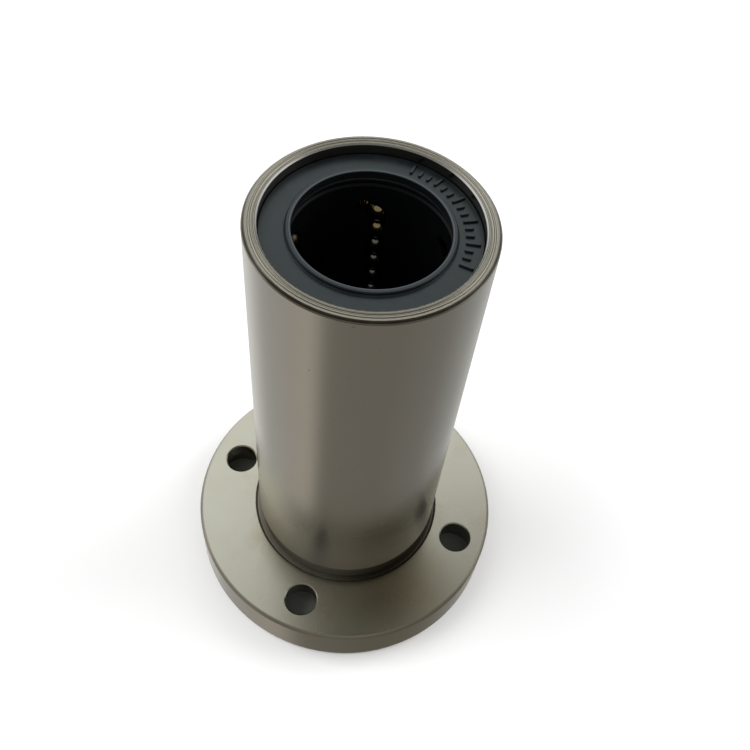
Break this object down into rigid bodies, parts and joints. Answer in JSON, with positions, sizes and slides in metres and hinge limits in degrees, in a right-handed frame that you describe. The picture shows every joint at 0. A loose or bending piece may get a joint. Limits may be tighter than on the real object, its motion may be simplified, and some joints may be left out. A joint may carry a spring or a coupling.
{
  "type": "linear ball bushing",
  "caption": "Long flanged linear ball bushing: a ground steel sleeve with a round bolt flange, holding recirculating ball circuits and lip seals round a sliding shaft.",
  "frame": {"origin": "centre of the flange's end face, on the shaft axis", "axes": "+Z along the shaft axis from the flange end face to the plain end; the bolt holes lie on the X and Y axes"},
  "size_m": [0.054, 0.054, 0.08],
  "materials": {
    "sleeve_steel": "ground, fine marks round the axis",
    "retainer_resin": "moulded black resin",
    "ball_steel": "polished bearing balls",
    "spring_steel": "oiled spring steel",
    "seal_rubber": "matte moulded rubber",
    "core_steel": "stamped washer"
  },
  "bodies": {
    "bushing": {"sleeve": "sleeve_steel", "retainer_upper": "retainer_resin", "retainer_lower": "retainer_resin", "retaining_ring_upper": "spring_steel", "retaining_ring_lower": "spring_steel", "seal_upper": "seal_rubber", "seal_lower": "seal_rubber", "seal_core_upper": "core_steel", "seal_core_lower": "core_steel"},
    "load_row_upper_1": {"load_row_upper_1": "ball_steel"},
    "return_row_upper_1": {"return_row_upper_1": "ball_steel"},
    "outer_turn_upper_1": {"outer_turn_upper_1": "ball_steel"},
    "inner_turn_upper_1": {"inner_turn_upper_1": "ball_steel"},
    "load_row_upper_2": {"load_row_upper_2": "ball_steel"},
    "return_row_upper_2": {"return_row_upper_2": "ball_steel"},
    "outer_turn_upper_2": {"outer_turn_upper_2": "ball_steel"},
    "inner_turn_upper_2": {"inner_turn_upper_2": "ball_steel"},
    "load_row_upper_3": {"load_row_upper_3": "ball_steel"},
    "return_row_upper_3": {"return_row_upper_3": "ball_steel"},
    "outer_turn_upper_3": {"outer_turn_upper_3": "ball_steel"},
    "inner_turn_upper_3": {"inner_turn_upper_3": "ball_steel"},
    "load_row_upper_4": {"load_row_upper_4": "ball_steel"},
    "return_row_upper_4": {"return_row_upper_4": "ball_steel"},
    "outer_turn_upper_4": {"outer_turn_upper_4": "ball_steel"},
    "inner_turn_upper_4": {"inner_turn_upper_4": "ball_steel"},
    "load_row_upper_5": {"load_row_upper_5": "ball_steel"},
    "return_row_upper_5": {"return_row_upper_5": "ball_steel"},
    "outer_turn_upper_5": {"outer_turn_upper_5": "ball_steel"},
    "inner_turn_upper_5": {"inner_turn_upper_5": "ball_steel"},
    "load_row_lower_1": {"load_row_lower_1": "ball_steel"},
    "return_row_lower_1": {"return_row_lower_1": "ball_steel"},
    "outer_turn_lower_1": {"outer_turn_lower_1": "ball_steel"},
    "inner_turn_lower_1": {"inner_turn_lower_1": "ball_steel"},
    "load_row_lower_2": {"load_row_lower_2": "ball_steel"},
    "return_row_lower_2": {"return_row_lower_2": "ball_steel"},
    "outer_turn_lower_2": {"outer_turn_lower_2": "ball_steel"},
    "inner_turn_lower_2": {"inner_turn_lower_2": "ball_steel"},
    "load_row_lower_3": {"load_row_lower_3": "ball_steel"},
    "return_row_lower_3": {"return_row_lower_3": "ball_steel"},
    "outer_turn_lower_3": {"outer_turn_lower_3": "ball_steel"},
    "inner_turn_lower_3": {"inner_turn_lower_3": "ball_steel"},
    "load_row_lower_4": {"load_row_lower_4": "ball_steel"},
    "return_row_lower_4": {"return_row_lower_4": "ball_steel"},
    "outer_turn_lower_4": {"outer_turn_lower_4": "ball_steel"},
    "inner_turn_lower_4": {"inner_turn_lower_4": "ball_steel"},
    "load_row_lower_5": {"load_row_lower_5": "ball_steel"},
    "return_row_lower_5": {"return_row_lower_5": "ball_steel"},
    "outer_turn_lower_5": {"outer_turn_lower_5": "ball_steel"},
    "inner_turn_lower_5": {"inner_turn_lower_5": "ball_steel"}
  },
  "joints": [
    {"name": "load_row_upper_1_roll", "type": "slide", "parent": "bushing", "child": "load_row_upper_1", "axis": [0, 0, 1], "range_m": [-0.00045, 0.00277]},
    {"name": "return_row_upper_1_roll", "type": "slide", "parent": "bushing", "child": "return_row_upper_1", "axis": [0, 0, 1], "range_m": [-0.00277, 0.00045]},
    {"name": "outer_turn_upper_1_roll", "type": "hinge", "parent": "bushing", "child": "outer_turn_upper_1", "pos_m": [0.00866, 0.00805, 0.07044], "axis": [-0.8526, -0.5225, 0], "range_deg": [-12.6, 77.4]},
    {"name": "inner_turn_upper_1_roll", "type": "hinge", "parent": "bushing", "child": "inner_turn_upper_1", "pos_m": [0.00866, 0.00805, 0.04468], "axis": [-0.8526, -0.5225, 0], "range_deg": [-12.6, 77.4]},
    {"name": "load_row_upper_2_roll", "type": "slide", "parent": "bushing", "child": "load_row_upper_2", "axis": [0, 0, 1], "range_m": [-0.00045, 0.00277]},
    {"name": "return_row_upper_2_roll", "type": "slide", "parent": "bushing", "child": "return_row_upper_2", "axis": [0, 0, 1], "range_m": [-0.00277, 0.00045]},
    {"name": "outer_turn_upper_2_roll", "type": "hinge", "parent": "bushing", "child": "outer_turn_upper_2", "pos_m": [-0.00498, 0.01072, 0.07044], "axis": [0.2334, -0.9724, 0], "range_deg": [-12.6, 77.4]},
    {"name": "inner_turn_upper_2_roll", "type": "hinge", "parent": "bushing", "child": "inner_turn_upper_2", "pos_m": [-0.00498, 0.01072, 0.04468], "axis": [0.2334, -0.9724, 0], "range_deg": [-12.6, 77.4]},
    {"name": "load_row_upper_3_roll", "type": "slide", "parent": "bushing", "child": "load_row_upper_3", "axis": [0, 0, 1], "range_m": [-0.00045, 0.00277]},
    {"name": "return_row_upper_3_roll", "type": "slide", "parent": "bushing", "child": "return_row_upper_3", "axis": [0, 0, 1], "range_m": [-0.00277, 0.00045]},
    {"name": "outer_turn_upper_3_roll", "type": "hinge", "parent": "bushing", "child": "outer_turn_upper_3", "pos_m": [-0.01174, -0.00143, 0.07044], "axis": [0.9969, -0.0785, 0], "range_deg": [-12.6, 77.4]},
    {"name": "inner_turn_upper_3_roll", "type": "hinge", "parent": "bushing", "child": "inner_turn_upper_3", "pos_m": [-0.01174, -0.00143, 0.04468], "axis": [0.9969, -0.0785, 0], "range_deg": [-12.6, 77.4]},
    {"name": "load_row_upper_4_roll", "type": "slide", "parent": "bushing", "child": "load_row_upper_4", "axis": [0, 0, 1], "range_m": [-0.00045, 0.00277]},
    {"name": "return_row_upper_4_roll", "type": "slide", "parent": "bushing", "child": "return_row_upper_4", "axis": [0, 0, 1], "range_m": [-0.00277, 0.00045]},
    {"name": "outer_turn_upper_4_roll", "type": "hinge", "parent": "bushing", "child": "outer_turn_upper_4", "pos_m": [-0.00227, -0.0116, 0.07044], "axis": [0.3827, 0.9239, 0], "range_deg": [-12.6, 77.4]},
    {"name": "inner_turn_upper_4_roll", "type": "hinge", "parent": "bushing", "child": "inner_turn_upper_4", "pos_m": [-0.00227, -0.0116, 0.04468], "axis": [0.3827, 0.9239, 0], "range_deg": [-12.6, 77.4]},
    {"name": "load_row_upper_5_roll", "type": "slide", "parent": "bushing", "child": "load_row_upper_5", "axis": [0, 0, 1], "range_m": [-0.00045, 0.00277]},
    {"name": "return_row_upper_5_roll", "type": "slide", "parent": "bushing", "child": "return_row_upper_5", "axis": [0, 0, 1], "range_m": [-0.00277, 0.00045]},
    {"name": "outer_turn_upper_5_roll", "type": "hinge", "parent": "bushing", "child": "outer_turn_upper_5", "pos_m": [0.01033, -0.00574, 0.07044], "axis": [-0.7604, 0.6494, 0], "range_deg": [-12.6, 77.4]},
    {"name": "inner_turn_upper_5_roll", "type": "hinge", "parent": "bushing", "child": "inner_turn_upper_5", "pos_m": [0.01033, -0.00574, 0.04468], "axis": [-0.7604, 0.6494, 0], "range_deg": [-12.6, 77.4]},
    {"name": "load_row_lower_1_roll", "type": "slide", "parent": "bushing", "child": "load_row_lower_1", "axis": [0, 0, -1], "range_m": [-0.00045, 0.00277]},
    {"name": "return_row_lower_1_roll", "type": "slide", "parent": "bushing", "child": "return_row_lower_1", "axis": [0, 0, -1], "range_m": [-0.00277, 0.00045]},
    {"name": "outer_turn_lower_1_roll", "type": "hinge", "parent": "bushing", "child": "outer_turn_lower_1", "pos_m": [0.0111, 0.00406, 0.00956], "axis": [-0.8526, -0.5225, 0], "range_deg": [-12.6, 77.4]},
    {"name": "inner_turn_lower_1_roll", "type": "hinge", "parent": "bushing", "child": "inner_turn_lower_1", "pos_m": [0.0111, 0.00406, 0.03532], "axis": [-0.8526, -0.5225, 0], "range_deg": [-12.6, 77.4]},
    {"name": "load_row_lower_2_roll", "type": "slide", "parent": "bushing", "child": "load_row_lower_2", "axis": [0, 0, -1], "range_m": [-0.00045, 0.00277]},
    {"name": "return_row_lower_2_roll", "type": "slide", "parent": "bushing", "child": "return_row_lower_2", "axis": [0, 0, -1], "range_m": [-0.00277, 0.00045]},
    {"name": "outer_turn_lower_2_roll", "type": "hinge", "parent": "bushing", "child": "outer_turn_lower_2", "pos_m": [0.00729, -0.00931, 0.00956], "axis": [-0.7604, 0.6494, 0], "range_deg": [-12.6, 77.4]},
    {"name": "inner_turn_lower_2_roll", "type": "hinge", "parent": "bushing", "child": "inner_turn_lower_2", "pos_m": [0.00729, -0.00931, 0.03532], "axis": [-0.7604, 0.6494, 0], "range_deg": [-12.6, 77.4]},
    {"name": "load_row_lower_3_roll", "type": "slide", "parent": "bushing", "child": "load_row_lower_3", "axis": [0, 0, -1], "range_m": [-0.00045, 0.00277]},
    {"name": "return_row_lower_3_roll", "type": "slide", "parent": "bushing", "child": "return_row_lower_3", "axis": [0, 0, -1], "range_m": [-0.00277, 0.00045]},
    {"name": "outer_turn_lower_3_roll", "type": "hinge", "parent": "bushing", "child": "outer_turn_lower_3", "pos_m": [-0.0066, -0.00981, 0.00956], "axis": [0.3827, 0.9239, 0], "range_deg": [-12.6, 77.4]},
    {"name": "inner_turn_lower_3_roll", "type": "hinge", "parent": "bushing", "child": "inner_turn_lower_3", "pos_m": [-0.0066, -0.00981, 0.03532], "axis": [0.3827, 0.9239, 0], "range_deg": [-12.6, 77.4]},
    {"name": "load_row_lower_4_roll", "type": "slide", "parent": "bushing", "child": "load_row_lower_4", "axis": [0, 0, -1], "range_m": [-0.00045, 0.00277]},
    {"name": "return_row_lower_4_roll", "type": "slide", "parent": "bushing", "child": "return_row_lower_4", "axis": [0, 0, -1], "range_m": [-0.00277, 0.00045]},
    {"name": "outer_turn_lower_4_roll", "type": "hinge", "parent": "bushing", "child": "outer_turn_lower_4", "pos_m": [-0.01137, 0.00325, 0.00956], "axis": [0.9969, -0.0785, 0], "range_deg": [-12.6, 77.4]},
    {"name": "inner_turn_lower_4_roll", "type": "hinge", "parent": "bushing", "child": "inner_turn_lower_4", "pos_m": [-0.01137, 0.00325, 0.03532], "axis": [0.9969, -0.0785, 0], "range_deg": [-12.6, 77.4]},
    {"name": "load_row_lower_5_roll", "type": "slide", "parent": "bushing", "child": "load_row_lower_5", "axis": [0, 0, -1], "range_m": [-0.00045, 0.00277]},
    {"name": "return_row_lower_5_roll", "type": "slide", "parent": "bushing", "child": "return_row_lower_5", "axis": [0, 0, -1], "range_m": [-0.00277, 0.00045]},
    {"name": "outer_turn_lower_5_roll", "type": "hinge", "parent": "bushing", "child": "outer_turn_lower_5", "pos_m": [-0.00043, 0.01181, 0.00956], "axis": [0.2334, -0.9724, 0], "range_deg": [-12.6, 77.4]},
    {"name": "inner_turn_lower_5_roll", "type": "hinge", "parent": "bushing", "child": "inner_turn_lower_5", "pos_m": [-0.00043, 0.01181, 0.03532], "axis": [0.2334, -0.9724, 0], "range_deg": [-12.6, 77.4]}
  ],
  "couplings": [
    {"joint": "return_row_upper_1_roll", "follows": "load_row_upper_1_roll", "ratio": -1},
    {"joint": "outer_turn_upper_1_roll", "follows": "load_row_upper_1_roll", "rad_per_m": 487.82},
    {"joint": "inner_turn_upper_1_roll", "follows": "load_row_upper_1_roll", "rad_per_m": 487.82},
    {"joint": "return_row_upper_2_roll", "follows": "load_row_upper_2_roll", "ratio": -1},
    {"joint": "outer_turn_upper_2_roll", "follows": "load_row_upper_2_roll", "rad_per_m": 487.82},
    {"joint": "inner_turn_upper_2_roll", "follows": "load_row_upper_2_roll", "rad_per_m": 487.82},
    {"joint": "return_row_upper_3_roll", "follows": "load_row_upper_3_roll", "ratio": -1},
    {"joint": "outer_turn_upper_3_roll", "follows": "load_row_upper_3_roll", "rad_per_m": 487.82},
    {"joint": "inner_turn_upper_3_roll", "follows": "load_row_upper_3_roll", "rad_per_m": 487.82},
    {"joint": "return_row_upper_4_roll", "follows": "load_row_upper_4_roll", "ratio": -1},
    {"joint": "outer_turn_upper_4_roll", "follows": "load_row_upper_4_roll", "rad_per_m": 487.82},
    {"joint": "inner_turn_upper_4_roll", "follows": "load_row_upper_4_roll", "rad_per_m": 487.82},
    {"joint": "return_row_upper_5_roll", "follows": "load_row_upper_5_roll", "ratio": -1},
    {"joint": "outer_turn_upper_5_roll", "follows": "load_row_upper_5_roll", "rad_per_m": 487.82},
    {"joint": "inner_turn_upper_5_roll", "follows": "load_row_upper_5_roll", "rad_per_m": 487.82},
    {"joint": "return_row_lower_1_roll", "follows": "load_row_lower_1_roll", "ratio": -1},
    {"joint": "outer_turn_lower_1_roll", "follows": "load_row_lower_1_roll", "rad_per_m": 487.82},
    {"joint": "inner_turn_lower_1_roll", "follows": "load_row_lower_1_roll", "rad_per_m": 487.82},
    {"joint": "return_row_lower_2_roll", "follows": "load_row_lower_2_roll", "ratio": -1},
    {"joint": "outer_turn_lower_2_roll", "follows": "load_row_lower_2_roll", "rad_per_m": 487.82},
    {"joint": "inner_turn_lower_2_roll", "follows": "load_row_lower_2_roll", "rad_per_m": 487.82},
    {"joint": "return_row_lower_3_roll", "follows": "load_row_lower_3_roll", "ratio": -1},
    {"joint": "outer_turn_lower_3_roll", "follows": "load_row_lower_3_roll", "rad_per_m": 487.82},
    {"joint": "inner_turn_lower_3_roll", "follows": "load_row_lower_3_roll", "rad_per_m": 487.82},
    {"joint": "return_row_lower_4_roll", "follows": "load_row_lower_4_roll", "ratio": -1},
    {"joint": "outer_turn_lower_4_roll", "follows": "load_row_lower_4_roll", "rad_per_m": 487.82},
    {"joint": "inner_turn_lower_4_roll", "follows": "load_row_lower_4_roll", "rad_per_m": 487.82},
    {"joint": "return_row_lower_5_roll", "follows": "load_row_lower_5_roll", "ratio": -1},
    {"joint": "outer_turn_lower_5_roll", "follows": "load_row_lower_5_roll", "rad_per_m": 487.82},
    {"joint": "inner_turn_lower_5_roll", "follows": "load_row_lower_5_roll", "rad_per_m": 487.82}
  ]
}
